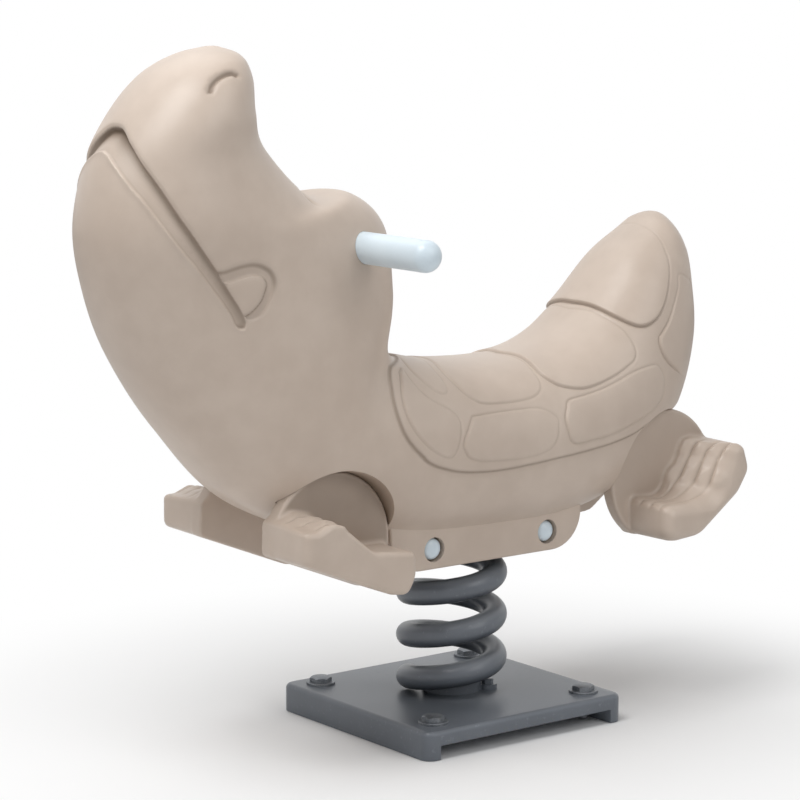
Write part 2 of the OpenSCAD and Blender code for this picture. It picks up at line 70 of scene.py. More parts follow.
# Ground plate and its bolts
PLATE_X, PLATE_Y, PLATE_H = 304, 298, 35
FLANGE_H, FLANGE_T = 17, 20
PLATE_CORNER, PLATE_R = 14, 6
ANCHOR_X, ANCHOR_Y = 117, 114
WASHER_BORE, WASHER_R, WASHER_T = 8.3, 18, 3
EAR_R, EAR_T, EAR_ANGLES = 44.63, 6, (143, 233)
# Bolts: width across the head's flats, radius of the shank and of the end, height of the tip
ANCHOR = (24, 8, 7, 3)
HUB_BOLT, HUB_BOLT_NECK = (13, 4, 3.9, 8), 8.6
BOLT_HEAD_H = 6

# Spring
WIRE_R, WIRE_END_R, COIL_R = 15, 4, 53.5
COIL_PITCH, COIL_TURNS, COIL_START = 53, 3.64, -42
COIL_RISE = COIL_PITCH * COIL_TURNS
COIL_SPLIT_Z = 130

# Rider
HEAD_Z, HEAD_T = PLATE_H + COIL_RISE + 2 * WIRE_R, 8
HEAD_ROOM_X, HEAD_ROOM_Y, COIL_ROOM_R = 108.8, 60, 73
KEEL_Z = HEAD_Z - 48
KEEL_X, KEEL_Y, KEEL_TOP = 149.5, 78, 131
KEEL_R, KEEL_EDGE, KEEL_LEAN, KEEL_NOSE = 45, 3, 20, 8
BOLT_X, BOLT_Z = 87.5, KEEL_Z + 24
RECESS_SEAT, RECESS_R = 64, 15
CAP_SEAT, CAP_R, CAP_RIM, CAP_H = 66, 13, 5, 12
CAP_BORE, CAP_DEPTH = 11.4, 7.3
BAR_X, BAR_Z, BAR_HALF = 194, KEEL_Z + 391.5, 215
GRIP_R, GRIP_SEAT, GRIP_DOME, GRIP_BORE, GRIP_DEPTH = 18.5, 64, 17, 14.15, 133.3
FRONT_FOOT = (242, KEEL_Z + 52)
REAR_FOOT = (-272, KEEL_Z + 74)
DISC_R, DISC_T, FOOT_SEAT, FOOT_INNER, FOOT_OUT = 84, 20, 63, 90, 152
FOOT_X, FOOT_Z, FOOT_STEP = (-98, 96), (-90, 92), 1.6
SEAT_GAP, SEAT_FLARE, SEAT_SHADE, SEAT_END = 0.3, ((DISC_T, 0), (DISC_T + 30, 5)), 1.4, 200

# Body sections from the head to the tail: back X, back height, belly X, belly height, half width,
# narrowing towards the back. Heights are above the underside of the keel. A low dome closes each end.
SECTIONS = np.array([
    [334, 621, 358, 621, 12, 0],
    [317, 612, 387, 612, 47, 0],
    [308, 587, 429, 588, 73, 0],
    [307, 550, 468, 545, 89, 0],
    [291, 508, 499, 492, 92, 0.05],
    [227, 449, 513, 418, 103, 0.08],
    [171, 451, 500, 340, 104, 0.06],
    [125, 415, 472, 271, 106, 0.05],
    [115, 342, 412, 185, 107, 0.05],
    [124, 271, 317, 92, 108, 0.04],
    [72, 246, 159, 34, 112, 0],
    [-22, 237, -8, 25, 118, 0],
    [-100, 241, -143, 32, 118, 0],
    [-156, 261, -252, 71, 111, 0],
    [-200, 297, -322, 143, 98, 0],
    [-249, 353, -357, 223, 80, 0],
    [-292, 383, -358, 292, 62, 0],
    [-311, 396, -356, 343, 44, 0],
    [-324, 400, -349, 378, 18, 0],
])
LAST = len(SECTIONS) - 1
END_DOMES = {0: 1.6, LAST: 3.0}

# Lines carved in the left side of the body: place along the sections, and angle round the section in
# degrees, 0 on the back and 180 on the belly.
UPPER_LIP = [
    (3.145, 180), (3.15, 176.5), (3.17, 173), (3.22, 169.5), (3.31, 165), (3.42, 160.5), (3.60, 153),
    (3.81, 145.5), (4.12, 135), (4.40, 127.2), (4.70, 121.2), (5.03, 116.2), (5.38, 113.2), (5.88, 110.8),
    (6.29, 110), (6.70, 109.5), (6.88, 109.8), (6.95, 110.8), (6.98, 112)]
LOWER_LIP = [
    (3.69, 180), (3.695, 178), (3.72, 175.5), (3.77, 171.2), (3.90, 164.2), (4.05, 157.2), (4.31, 146.8),
    (4.55, 138), (4.98, 128), (5.50, 120.8), (5.89, 117.5), (6.30, 115.2), (6.66, 114.2), (6.88, 114.3),
    (6.95, 113.4), (6.98, 112)]
CHEEK_OUTER = [
    (5.91, 110.8), (5.94, 107.5), (5.95, 104.2), (5.97, 101), (6.01, 98), (6.07, 96), (6.16, 94.5),
    (6.30, 93.5), (6.45, 93.7), (6.58, 94.8), (6.70, 96.8), (6.82, 99.5), (6.90, 102.5), (6.92, 105.8),
    (6.88, 109)]
CHEEK_INNER = [
    (6.13, 110.2), (6.155, 107.8), (6.17, 104.8), (6.20, 100.8), (6.28, 98), (6.38, 96.8), (6.50, 97.2),
    (6.62, 99.5), (6.71, 101.8), (6.77, 104.8), (6.80, 107.5), (6.80, 109.6)]
EYE = [(2.33, 108.2), (2.18, 108.5), (1.985, 105), (1.835, 97.8), (1.78, 89.2), (1.865, 81.8)]
CREASE = [(4.80, 0), (4.80, 12), (4.82, 22), (4.88, 30), (5.06, 36), (5.47, 48)]
RIM = [(9.72, 0), (9.62, 6), (9.10, 36), (8.96, 48.2), (9.14, 60.5), (9.33, 70.5), (9.61, 82.5), (9.92, 90.2),
       (10.20, 93.5), (10.44, 95.2), (10.78, 95.5), (11.15, 94.2), (11.60, 93), (12.11, 94), (12.75, 98.8),
       (13.25, 105.2), (13.82, 126.2), (14.10, 150), (14.20, 180)]
# Scutes of the shell: outline, height of the front edge and of the rear edge
SCUTES = [
    ([(9.80, 0), (9.56, 12), (9.47, 22), (9.53, 33), (9.77, 44), (9.98, 49.5), (10.11, 47), (10.09, 36),
      (10.06, 24), (10.17, 0)], 0.7, 0.5),
    ([(10.31, 0), (10.18, 26), (10.29, 44), (10.45, 53.5), (10.59, 56.5), (10.96, 56.5), (11.31, 54),
      (11.50, 47), (11.57, 34), (11.61, 14), (11.53, 0)], 1.2, 0.4),
    ([(11.60, 0), (11.69, 13), (11.64, 35), (11.75, 47), (11.94, 53), (12.22, 58), (12.66, 61), (13.22, 65),
      (13.52, 67), (13.68, 62), (13.77, 48), (13.77, 32), (13.75, 16), (13.67, 0)], 2.6, 0.4),
    ([(13.84, 0), (13.86, 13), (13.88, 37), (14.02, 57), (14.32, 68.5), (14.66, 73), (15.04, 72),
      (15.40, 66.5), (15.64, 56), (15.90, 36), (16.05, 0)], 4.0, 0.0),
    ([(9.21, 42.2), (9.30, 57.2), (9.47, 69.5), (9.72, 80), (9.98, 86.5), (10.20, 88.5), (10.26, 80),
      (10.24, 68), (10.12, 61), (9.90, 57), (9.66, 51), (9.42, 42), (9.30, 36)], 2.0, 0.7),
    ([(10.39, 65), (10.66, 63), (11.05, 62), (11.32, 63), (11.51, 69), (11.55, 75), (11.43, 87),
      (11.10, 90.5), (10.67, 90.5), (10.43, 89.5), (10.34, 86), (10.31, 80)], 1.4, 0.5),
    ([(11.74, 66.5), (11.67, 72.5), (11.67, 81), (11.73, 88), (12.06, 89.5), (12.80, 93), (13.50, 99.5),
      (13.74, 96.5), (13.83, 90), (13.76, 82.5), (13.32, 71.5), (12.81, 66), (12.15, 62), (11.84, 61.5)],
     1.7, 0.5),
    ([(14.13, 104), (14.04, 90), (14.08, 82), (14.18, 78), (14.30, 79), (14.60, 82), (15.16, 83), (15.50, 82),
      (15.75, 110), (15.30, 150), (14.60, 150), (14.30, 125)], 2.2, 0.0),
]

# Footrests, from the centre of the round wall: the sole and the tops near the wall and at the outer side,
# seen from the side as X, height and corner radius, and the outline from above as X, Y and corner radius
FRONT_SOLE = [(86, -4, 10), (-38, -54, 20), (-60, -57, 12)]
FRONT_TOPS = [[(-78, -34, 14), (-78, -9, 8), (-14, -6, 18), (34, 37, 12), (60, 43, 12), (85, 33, 6)],
              [(-78, -34, 14), (-76, -8, 12), (-12, 0, 14), (30, 34, 10), (47, 39, 10), (66, 31, 14),
               (85, 32, 6)]]
FRONT_PLAN = [(-78, 40, 1), (85, 40, 1), (85, 152, 14), (-78, 152, 16)]
REAR_SOLE = [(-92, 8, 18), (-72, -22, 34), (-8, -68, 34), (30, -71, 20), (58, -68, 18)]
REAR_TOPS = [[(59, -22, 9), (11, -24, 24), (-36, 46, 14), (-76, 41, 14)],
             [(57, -25, 9), (-32, -27, 26), (-60, 40, 16), (-80, 41, 12)]]
REAR_PLAN = [(59, 40, 1), (59, 90, 30), (52, 152, 18), (-98, 152, 18), (-98, 40, 1)]
# Lines between the toes as Y, then the places of their grooves and of the toes' swell: X, height, slant
# outwards, reach and amount
FRONT_TOES = ((99, 120, 141), [(42, 38, -0.2, 24, 2.4), (64, 38, -0.2, 18, 1.4)], [(44, 40, -0.2, 18, 2.6)])
REAR_TOES = ((100, 117, 134),
             [(-36, 32, -0.6, 28, 2.8), (-18, 6, -0.5, 30, 2.6), (6, -20, -0.5, 26, 1.2),
              (25, -24, 0, 40, 0.8), (54, -22, 0, 12, 2.8)],
             [(-36, 36, -0.62, 16, 3.2), (-13, 2, -0.5, 16, 3.4), (50, -23, 0, 16, 0.8)])


# Camera and lamps

def add_object(name, data):
    thing = bpy.data.objects.new(name, data)
    bpy.context.scene.collection.objects.link(thing)
    return thing


def add_aimed(name, data, place, aim):
    """A camera or lamp at a place, turned towards what it is aimed at."""
    thing = add_object(name, data)
    thing.location = place
    thing.rotation_euler = (Vector(aim) - Vector(place)).to_track_quat("-Z", "Y").to_euler()
    return thing


def add_camera():
    """The photograph's camera: long lens, no shift."""
    data = bpy.data.cameras.new("photo_camera")
    data.sensor_width = 36
    data.lens = 129.02
    data.clip_end = 60
    bpy.context.scene.camera = add_aimed("photo_camera", data, (2.1368, 2.7072, 0.9502), (0.0797, 0, 0.4033))


def add_lamp(name, place, aim, size, watts):
    data = bpy.data.lights.new(name, "AREA")
    data.size = size
    data.energy = watts
    add_aimed(name, data, place, aim)


# Materials

class Wire:
    """A socket in a material. Plain maths on it adds Math nodes."""

    def __init__(self, tree, socket=None):
        self.tree = tree
        self.socket = socket

    def node(self, kind, inputs, output=0, **settings):
        """Adds a node of a kind: its settings first, then values, colours or links for its sockets."""
        node = self.tree.nodes.new("ShaderNode" + kind)
        for name, value in settings.items():
            setattr(node, name, value)
        for name, value in inputs.items():
            if isinstance(value, Wire):
                self.tree.links.new(value.socket, node.inputs[name])
            elif isinstance(value, tuple):
                node.inputs[name].default_value = (*value, 1)
            else:
                node.inputs[name].default_value = value
        return Wire(self.tree, node.outputs[output] if node.outputs else None)

    def maths(self, operation, first, second):
        return self.node("Math", {0: first, 1: second}, operation=operation)

    def __add__(self, other):
        return self.maths("ADD", self, other)

    __radd__ = __add__

    def __rsub__(self, other):
        return self.maths("SUBTRACT", other, self)

    def __mul__(self, other):
        return self.maths("MULTIPLY", self, other)

    __rmul__ = __mul__

    def noise(self, scale, detail):
        """Soft noise of about 0 to 1 round a place, with so many lumps in a metre."""
        return self.node("TexNoise", {"Vector": self, "Scale": scale, "Detail": detail}, "Fac")

    def band(self, low, high):
        """0 below low, 1 above high, smooth between."""
        return self.node("MapRange", {"Value": self, "From Min": low, "From Max": high},
                         interpolation_type="SMOOTHSTEP")

    def mix(self, first, second):
        """A colour at a share of the way between two colours."""
        return self.node("Mix", {"Factor": self, 6: first, 7: second}, 2, data_type="RGBA")

    def bump(self, depth, strength):
        """Normals of a height of 0 to 1 that is so many metres deep."""
        return self.node("Bump", {"Height": self, "Distance": depth, "Strength": strength})


def empty_tree(owner):
    """Start of the nodes of a material or of the world, with none there yet."""
    owner.use_nodes = True
    owner.node_tree.nodes.clear()
    return Wire(owner.node_tree)


def finish_named(name, gloss, varied):
    """A material from the strength of its gloss and from a function that gives the values that vary."""
    material = bpy.data.materials.new(name)
    start = empty_tree(material)
    place = start.node("TexCoord", {}, "Object")
    shader = start.node("BsdfPrincipled", {"Specular IOR Level": gloss, **varied(place)})
    start.node("OutputMaterial", {"Surface": shader})
    return material


def moulded_beige(place):
    """Rotomoulded plastic: slight cloudiness, fine moulded grain, painted shade in the carved lines and other
    hollows and on the footrests' walls.
    """
    cloud = place.noise(7, 3)
    patch = place.noise(38, 4)
    grain = place.noise(1100, 2)
    pits = place.noise(300, 2)
    groove_and_painted_shade = place.node("Attribute", {}, "Fac", attribute_name="groove_and_painted_shade")
    tone = (cloud * 0.65 + patch * 0.35).band(0.32, 0.70)
    colour = tone.mix((0.540, 0.444, 0.370), (0.600, 0.502, 0.424))
    # Painted shade: the carved lines, seats and footrest walls darken towards dark brown.
    painted_shade_share = groove_and_painted_shade * (0.45 + 0.30 * patch)
    colour = painted_shade_share.mix(colour, (0.150, 0.105, 0.072))
    rough = 0.31 + 0.08 * tone + 0.05 * pits + 0.22 * groove_and_painted_shade
    return {"Base Color": colour, "Roughness": rough,
            "Normal": (0.6 * grain + 0.4 * pits).bump(0.00035, 0.30)}


def cool_white(place):
    """Smooth bluish-white grip plastic, a little scuffed."""
    cloud = place.noise(24, 3)
    scuff = place.noise(420, 5).band(0.55, 0.75)
    fine = place.noise(1600, 2)
    colour = cloud.mix((0.640, 0.745, 0.820), (0.710, 0.805, 0.865))
    colour = (scuff * 0.14).mix(colour, (0.470, 0.530, 0.580))
    return {"Base Color": colour, "Roughness": 0.26 + 0.16 * scuff + 0.05 * cloud,
            "Normal": fine.bump(0.0002, 0.18)}


def blue_grey_paint(place):
    """Powder coat: orange peel, small lighter scuffs, and on the coil painted light on top and painted shade
    underneath.
    """
    cloud = place.noise(16, 4)
    painted_shading = place.node("Attribute", {}, "Fac", attribute_name="groove_and_painted_shade")
    peel = place.noise(520, 2)
    scuff = place.noise(170, 6).band(0.60, 0.72)
    colour = cloud.mix((0.112, 0.126, 0.148), (0.158, 0.176, 0.202))
    colour = (scuff * 0.30).mix(colour, (0.270, 0.290, 0.315))
    # Painted light on the top of the coil's wire, and painted shade under it.
    painted_top_light = (0 - painted_shading).band(0, 1) * (0.30 + 0.60 * cloud)
    colour = painted_top_light.mix(colour, (0.300, 0.322, 0.350))
    colour = (painted_shading.band(0, 1) * 0.75).mix(colour, (0.022, 0.024, 0.030))
    return {"Base Color": colour, "Roughness": 0.27 + 0.12 * cloud + 0.14 * scuff,
            "Normal": peel.bump(0.0005, 0.22)}


def dull_zinc(place):
    """Zinc plating with a faint crystal bloom and grey wear."""
    crystal = place.node("TexVoronoi", {"Vector": place, "Scale": 520}, "Distance")
    cloud = place.noise(60, 4)
    fine = place.noise(1900, 2)
    bloom = (cloud + 0.3 * crystal).band(0.4, 0.9)
    colour = bloom.mix((0.130, 0.142, 0.158), (0.230, 0.242, 0.258))
    return {"Base Color": colour, "Roughness": 0.34 + 0.20 * cloud, "Metallic": 0.92 - 0.25 * cloud,
            "Normal": (0.5 * fine + 0.5 * crystal).bump(0.0002, 0.20)}


FINISHES = {name: finish_named(name, gloss, varied) for name, gloss, varied in (
    ("beige_plastic", 0.42, moulded_beige), ("white_plastic", 0.50, cool_white),
    ("dark_paint", 0.50, blue_grey_paint), ("zinc", 0.50, dull_zinc))}


# Mesh making

def rise(value, low, high):
    """0 below low, 1 above high, smooth between."""
    f = np.clip((value - low) / (high - low), 0, 1)
    return f * f * (3 - 2 * f)


def hump(away, width):
    """1 at nought, falling to about a third at a width from it."""
    return np.exp(-(away / width) ** 2)


def unit(vectors):
    """Vectors of length one along the last axis."""
    return vectors / np.maximum(np.linalg.norm(vectors, axis=-1, keepdims=True), 1e-9)


def make_piece(name, points, faces, slot, smooth_below=None):
    """A mesh object from points in millimetres, smooth apart from edges above an angle in degrees."""
    mesh = bpy.data.meshes.new(name)
    mesh.from_pydata((np.asarray(points, float) * MM).tolist(), [], [list(map(int, f)) for f in faces])
    mesh.update()
    piece = add_object(name, mesh)
    mesh.materials.append(FINISHES[slot])
    mesh.polygons.foreach_set("use_smooth", [True] * len(mesh.polygons))
    if smooth_below:
        mesh.set_sharp_from_angle(angle=math.radians(smooth_below))
    return piece


def darken(mesh, shade):
    """Gives each point of a mesh its shade, which its finish paints into the colour: painted shade, and
    painted light where it is below nought.
    """
    mesh.attributes.new("groove_and_painted_shade", "FLOAT", "POINT").data.foreach_set("value", shade.astype(np.float32))


def strips(rows):
    """Faces between rows of points that run round a solid. Where a row is one point, they are triangles."""
    faces = []
    for low, high in zip(rows[:-1], rows[1:]):
        corners = zip(low, np.roll(low, -1), np.roll(high, -1), high)
        faces += [list(dict.fromkeys(map(int, face))) for face in corners]
    return faces


def turned(profile, sides, ring=False):
    """Points and faces of a solid turned about Z, from an outline of radius and height with both ends on the
    axis, or a closed one for a ring. Either may be a function of the angle, as for a hexagon."""
    points, rows = [], []
    for radius, height in profile:
        if radius == 0:
            rows.append([len(points)] * sides)
            points.append((0, 0, height))
            continue
        rows.append(range(len(points), len(points) + sides))
        for angle in np.arange(sides) * 2 * np.pi / sides:
            r = radius(angle) if callable(radius) else radius
            h = height(angle) if callable(height) else height
            points.append((r * math.cos(angle), r * math.sin(angle), h))
    return np.array(points, float), strips(rows + rows[:ring])


def group(solids):
    """Several solids as one list of points and faces."""
    points, faces = zip(*solids)
    starts = np.cumsum([0, *map(len, points)])
    faces = [np.add(face, start) for start, solid in zip(starts, faces) for face in solid]
    return np.concatenate(points), faces


def moved(solid, turn, shift):
    """A solid turned by a matrix and shifted. A mirroring turn flips its faces."""
    points, faces = solid
    turn = np.asarray(turn, float)
    if np.linalg.det(turn) < 0:
        faces = [face[::-1] for face in faces]
    return points @ turn.T + np.asarray(shift, float), faces


def sideways(solid, side, place, start):
    """A solid about Z laid out to one side from a start, at an X and height."""
    turn = [[1, 0, 0], [0, 0, side], [0, -side, 0]]
    return moved(solid, turn, (place[0], side * start, place[1]))


def dome(radius, low, top, steps):
    """Outline of an elliptic dome from its rim to the axis, for turned solids."""
    turns = np.linspace(0, math.pi / 2, steps)[:-1]
    return [(radius * math.cos(a), low + (top - low) * math.sin(a)) for a in turns] + [(0, top)]


def hex_bolt(head_z, neck_z, across_flats, shank_r, end_r, tip_z):
    """Hexagon bolt about Z with a chamfered head and tip, its end thinner below the neck."""
    flat, top = across_flats / 2, head_z + BOLT_HEAD_H
    crown, slope = flat * 0.93, 0.52
    chamfer = end_r * 0.14

    def hexagon(angle):
        return flat / math.cos((angle + math.pi / 6) % (math.pi / 3) - math.pi / 6)

    def shoulder(angle):
        return top - (hexagon(angle) - crown) * slope

    return turned([(0, tip_z), (end_r - chamfer, tip_z), (end_r, tip_z + chamfer), (end_r, neck_z),
                   (shank_r, neck_z + 2 * (shank_r - end_r)), (shank_r, head_z), (hexagon, head_z),
                   (hexagon, shoulder), (crown, top), (0, top)], 72)


def washer(inner, outer, low, thick):
    """Ring about Z with a broken upper edge."""
    top, edge = low + thick, 0.5
    profile = [(inner, low), (outer, low), (outer, top - edge), (outer - edge, top), (inner, top)]
    return turned(profile, 64, True)


# Base

def make_plate():
    """Ground plate with front and rear flanges, rounded corners and upper edges."""
    half_x, half_y, inner = PLATE_X / 2, PLATE_Y / 2, PLATE_X / 2 - FLANGE_T
    outline = [(-half_x, 0), (-inner, 0), (-inner, FLANGE_H), (inner, FLANGE_H), (inner, 0), (half_x, 0),
               (half_x, PLATE_H), (-half_x, PLATE_H)]
    bm = bmesh.new()
    left, right = [[bm.verts.new((x, y, z)) for x, z in outline] for y in (-half_y, half_y)]
    sides = zip(left, left[1:] + left[:1], right[1:] + right[:1], right)
    for corners in (*sides, left[::-1], right):
        bm.faces.new(corners)
    bmesh.ops.recalc_face_normals(bm, faces=bm.faces)

    def bevel(edges, size, segments):
        bmesh.ops.bevel(bm, geom=edges, offset=size, offset_type="OFFSET", segments=segments, profile=0.5,
                        affect="EDGES", clamp_overlap=True)

    def upright(edge):
        a, b = (v.co for v in edge.verts)
        return abs(abs(a.x) - half_x) < 0.1 and abs(abs(a.y) - half_y) < 0.1 and abs(a.z - b.z) > 1

    bevel([e for e in bm.edges if upright(e)], PLATE_CORNER, 10)
    bevel([e for e in bm.edges if all(abs(v.co.z - PLATE_H) < 0.1 for v in e.verts)
           and min(abs(f.normal.z) for f in e.link_faces) < 0.5], PLATE_R, 6)
    bevel([e for e in bm.edges if len(e.link_faces) == 2 and e.calc_face_angle() > 0.9], 0.9, 2)
    bm.verts.index_update()
    points = [v.co[:] for v in bm.verts]
    faces = [[v.index for v in f.verts] for f in bm.faces]
    bm.free()
    piece = make_piece("ground_plate", points, faces, "dark_paint", 35)
    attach(piece, "base")
    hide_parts("base_plate")


def make_base_bolts():
    """Ground bolts with their washers, and the bolts of the lower hub."""
    corners = [(x, y) for x in (-ANCHOR_X, ANCHOR_X) for y in (-ANCHOR_Y, ANCHOR_Y)]
    ears = [(EAR_R * math.cos(math.radians(a)), EAR_R * math.sin(math.radians(a))) for a in EAR_ANGLES]
    ground_bolt = hex_bolt(PLATE_H + WASHER_T, FLANGE_H, *ANCHOR)
    ground_washer = washer(WASHER_BORE, WASHER_R, PLATE_H, WASHER_T)
    hub_bolt = hex_bolt(PLATE_H + EAR_T, HUB_BOLT_NECK, *HUB_BOLT)
    for name, solid, spots, slot, node in (
            ("ground_bolts", ground_bolt, corners, "zinc", "anchor_bolts"),
            ("ground_washers", ground_washer, corners, "zinc", "anchor_washers"),
            ("hub_bolts", hub_bolt, ears, "dark_paint", "lower_hub_bolts")):
        solids = group([moved(solid, np.eye(3), (x, y, 0)) for x, y in spots])
        piece = make_piece(name, *solids, slot, 30)
        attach(piece, "base")
        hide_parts(node)


# Spring

def wire_tube(start, end, rings_a_turn=56, sides=28):
    """Round wire of the coil between two shares of its length, with softly rounded ends, and its painted
    shading:
    painted shade underneath, painted light on top."""
    count = int(math.ceil((end - start) * COIL_TURNS * rings_a_turn))
    f = np.linspace(start, end, count + 1)
    lean = math.atan(COIL_PITCH / (2 * math.pi * COIL_R))
    length = math.hypot(2 * math.pi * COIL_R, COIL_PITCH) * COIL_TURNS
    a = np.radians(COIL_START + 360 * COIL_TURNS * f)
    out = np.stack([np.cos(a), np.sin(a), 0 * a], 1)
    up = np.stack([np.sin(a) * math.sin(lean), -np.cos(a) * math.sin(lean), 0 * a + math.cos(lean)], 1)
    middle = COIL_R * out
    middle[:, 2] = PLATE_H + WIRE_R + COIL_RISE * f
    # The free ends of the wire are rounded over a short length.
    free = np.minimum(1, np.minimum(f, 1 - f) * length / WIRE_END_R)
    r = WIRE_R - WIRE_END_R + WIRE_END_R * np.sqrt(1 - (1 - free) ** 2)
    b = 2 * np.pi * np.arange(sides)[:, None] / sides
    points = middle[:, None] + r[:, None, None] * (np.cos(b) * out[:, None] + np.sin(b) * up[:, None])
    rows = np.arange((count + 1) * sides).reshape(count + 1, sides)
    faces = strips(rows[::-1]) + [rows[0].tolist(), rows[-1, ::-1].tolist()]
    # Painted shade on the wire's underside and painted light on its top, by which way each side faces.
    top = np.sin(b[:, 0])
    shade = rise(-top, 0.05, 0.95) - rise(top, 0.35, 0.95)
    return points.reshape(-1, 3), faces, np.tile(shade, count + 1)


def make_spring():
    """Two lengths of one wire: the lower from the base to a split height, the upper on from there to the
    rider.
    """
    split = (COIL_SPLIT_Z - PLATE_H - WIRE_R) / COIL_RISE
    for name, span, bodies, start, end in (
            ("spring_lower", (0, split), ("base", "spring"), (0, 0, 0.062), (0, 0, 0.112)),
            ("spring_upper", (split, 1), ("spring", "rider"), (0, 0, 0.148), (0, 0, 0.205))):
        *solid, shade = wire_tube(*span)
        piece = make_piece(name, *solid, "dark_paint", 50)
        darken(piece.data, shade)
        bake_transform(piece)
        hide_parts("spring")


# Body

def signed_power(value, exponent):
    return np.sign(value) * np.abs(value) ** exponent


def spline(a, b, c, d, f):
    """Smooth way from b to c, at a share f of it, with a before and d after them."""
    square, cube = 2 * a - 5 * b + 4 * c - d, 3 * b - a - 3 * c + d
    return 0.5 * (2 * b + (c - a) * f + square * f ** 2 + cube * f ** 3)


def run_on(points):
    """Points with one more at either end, in line with the two before it."""
    p = np.array(points, float)
    return np.concatenate([[2 * p[0] - p[1]], p, [2 * p[-1] - p[-2]]])


def section_at(t):
    """Section of the body at place t, on a smooth curve through the sections."""
    i = np.clip(np.floor(t).astype(int), 0, LAST - 1)
    s = run_on(SECTIONS)
    return spline(s[i], s[i + 1], s[i + 2], s[i + 3], (t - i)[..., None])


def skin_at(t, angle):
    """Points of the smooth body at places t and angles round the section."""
    s = section_at(t)
    turn = np.radians(angle)
    # The head's sections are nearly ellipses, the body's a little squarer.
    power = 2 / np.interp(t, [4, 6], [2.05, 2.3])
    c = signed_power(np.cos(turn), power)
    y = s[..., 4] * signed_power(np.sin(turn), power) * (1 - s[..., 5] * c)
    x = (s[..., 0] + s[..., 2]) / 2 + (s[..., 0] - s[..., 2]) / 2 * c
    z = KEEL_Z + (s[..., 1] + s[..., 3]) / 2 + (s[..., 1] - s[..., 3]) / 2 * c
    return np.stack([x, y, z], -1)


def curve_through(points, steps=10):
    """Smooth open line through points, with so many steps in each span."""
    p = run_on(points)
    f = (np.arange(steps) / steps)[:, None]
    return np.concatenate([spline(*p[k:k + 4], f) for k in range(len(p) - 3)] + [p[-2:-1]])


def slopes_at(t, angle):
    """Points of the smooth body, their change along it and round it, and the outward normals."""
    along = (skin_at(t + 0.002, angle) - skin_at(t - 0.002, angle)) / 0.004
    around = (skin_at(t, angle + 0.1) - skin_at(t, angle - 0.1)) / 0.2
    return skin_at(t, angle), along, around, unit(np.cross(around, along))


def evenly(line, gap):
    """A line of places and angles with points so many millimetres apart on the skin."""
    spots = skin_at(*line.T)
    run = np.concatenate([[0], np.cumsum(np.linalg.norm(np.diff(spots, axis=0), axis=1))])
    at = np.linspace(0, run[-1], int(round(run[-1] / gap)) + 1)
    return np.stack([np.interp(at, run, column) for column in line.T], 1)


def beside(line, reach):
    """The line on the skin that runs so many millimetres to one side of another."""
    points, along, around, normal = slopes_at(*line.T)
    side = reach * unit(np.cross(normal, np.gradient(points, axis=0)))
    return line + (np.linalg.pinv(np.stack([along, around], -1)) @ side[..., None])[..., 0]


def line_distance(path, spots, reach):
    """Distance of spots from a line of points, or reach where it is further."""
    best = np.full(spots.shape[:-1], float(reach) ** 2)
    for a, b in zip(path[:-1], path[1:]):
        d = b - a
        f = np.clip((spots - a) @ d / max(d @ d, 1e-9), 0, 1)
        best = np.minimum(best, ((spots - a - f[..., None] * d) ** 2).sum(-1))
    return np.sqrt(best)


def within(outline, u, v):
    """Which places lie inside a closed outline."""
    hit = np.zeros(u.shape, bool)
    for (u0, v0), (u1, v1) in zip(outline, np.roll(outline, -1, axis=0)):
        if v0 != v1:
            hit ^= ((v < v0) != (v < v1)) & (u < u0 + (v - v0) / (v1 - v0) * (u1 - u0))
    return hit


class Skin:
    """Left half of the body as points at places and angles, with the distances that carving needs."""

    def __init__(self, spots):
        self.t, self.a = spots.T
        self.points = skin_at(self.t, self.a)
        self.depth = np.zeros(len(spots))
        self.groove_and_painted_shade = np.zeros(len(spots))

    def distance(self, line, reach):
        """Distance of each point from a line on the skin, or reach where it is further."""
        path = skin_at(*line.T)
        near = ((self.points > path.min(0) - reach) & (self.points < path.max(0) + reach)).all(-1)
        out = np.full(len(self.t), float(reach))
        out[near] = line_distance(path, self.points[near], reach)
        return out

    def inside(self, outline):
        """Which points lie inside a closed outline of places and angles."""
        return within(outline, self.t, np.clip(self.a, 0.01, 179.99))

    def cut(self, amount, shade):
        """Moves the skin outwards by an amount, and darkens it by a share."""
        self.depth += amount
        self.groove_and_painted_shade = np.maximum(self.groove_and_painted_shade, shade)


def carve_mouth(skin):
    """Mouth that is deep under the upper lip and shallow along the lower one."""
    upper, lower = curve_through(UPPER_LIP), curve_through(LOWER_LIP)
    band = skin.inside(np.concatenate([upper, lower[::-1]]))
    up, down = skin.distance(upper, 34), skin.distance(lower, 34)
    share = up / (up + down + 1e-6)
    deep = np.interp(skin.t, [3.2, 4.0, 5.2, 6.3, 6.95], [10.0, 10.0, 8.5, 6.0, 2.0])
    shallow = 2.4
    floor = (shallow + (deep - shallow) * (1 - share)) * rise(up, -1.6, 3.6) * rise(down, -0.3, 1.8)
    lip = deep * rise(0.0, -1.6, 3.6) * (1 - rise(up, 0, 3.4))
    # Painted shade on the mouth's floor, darkest under the upper lip and towards the middle of the snout.
    shade = 0.22 + 0.66 * (1 - rise(up, 3.0, 14)) + 0.25 * hump(down - 2.0, 1.6)
    shade += 0.70 * (1 - rise(up, 8, 24)) * rise(skin.a, 145, 174)
    shade *= rise(up, -0.5, 1.5) * rise(down, 0.2, 1.6)
    skin.cut(np.where(band, -floor, -lip), np.where(band, shade, 0))
    skin.cut(np.where(band, 0, 1.1 * hump(down - 1.6, 2.0)), 0)


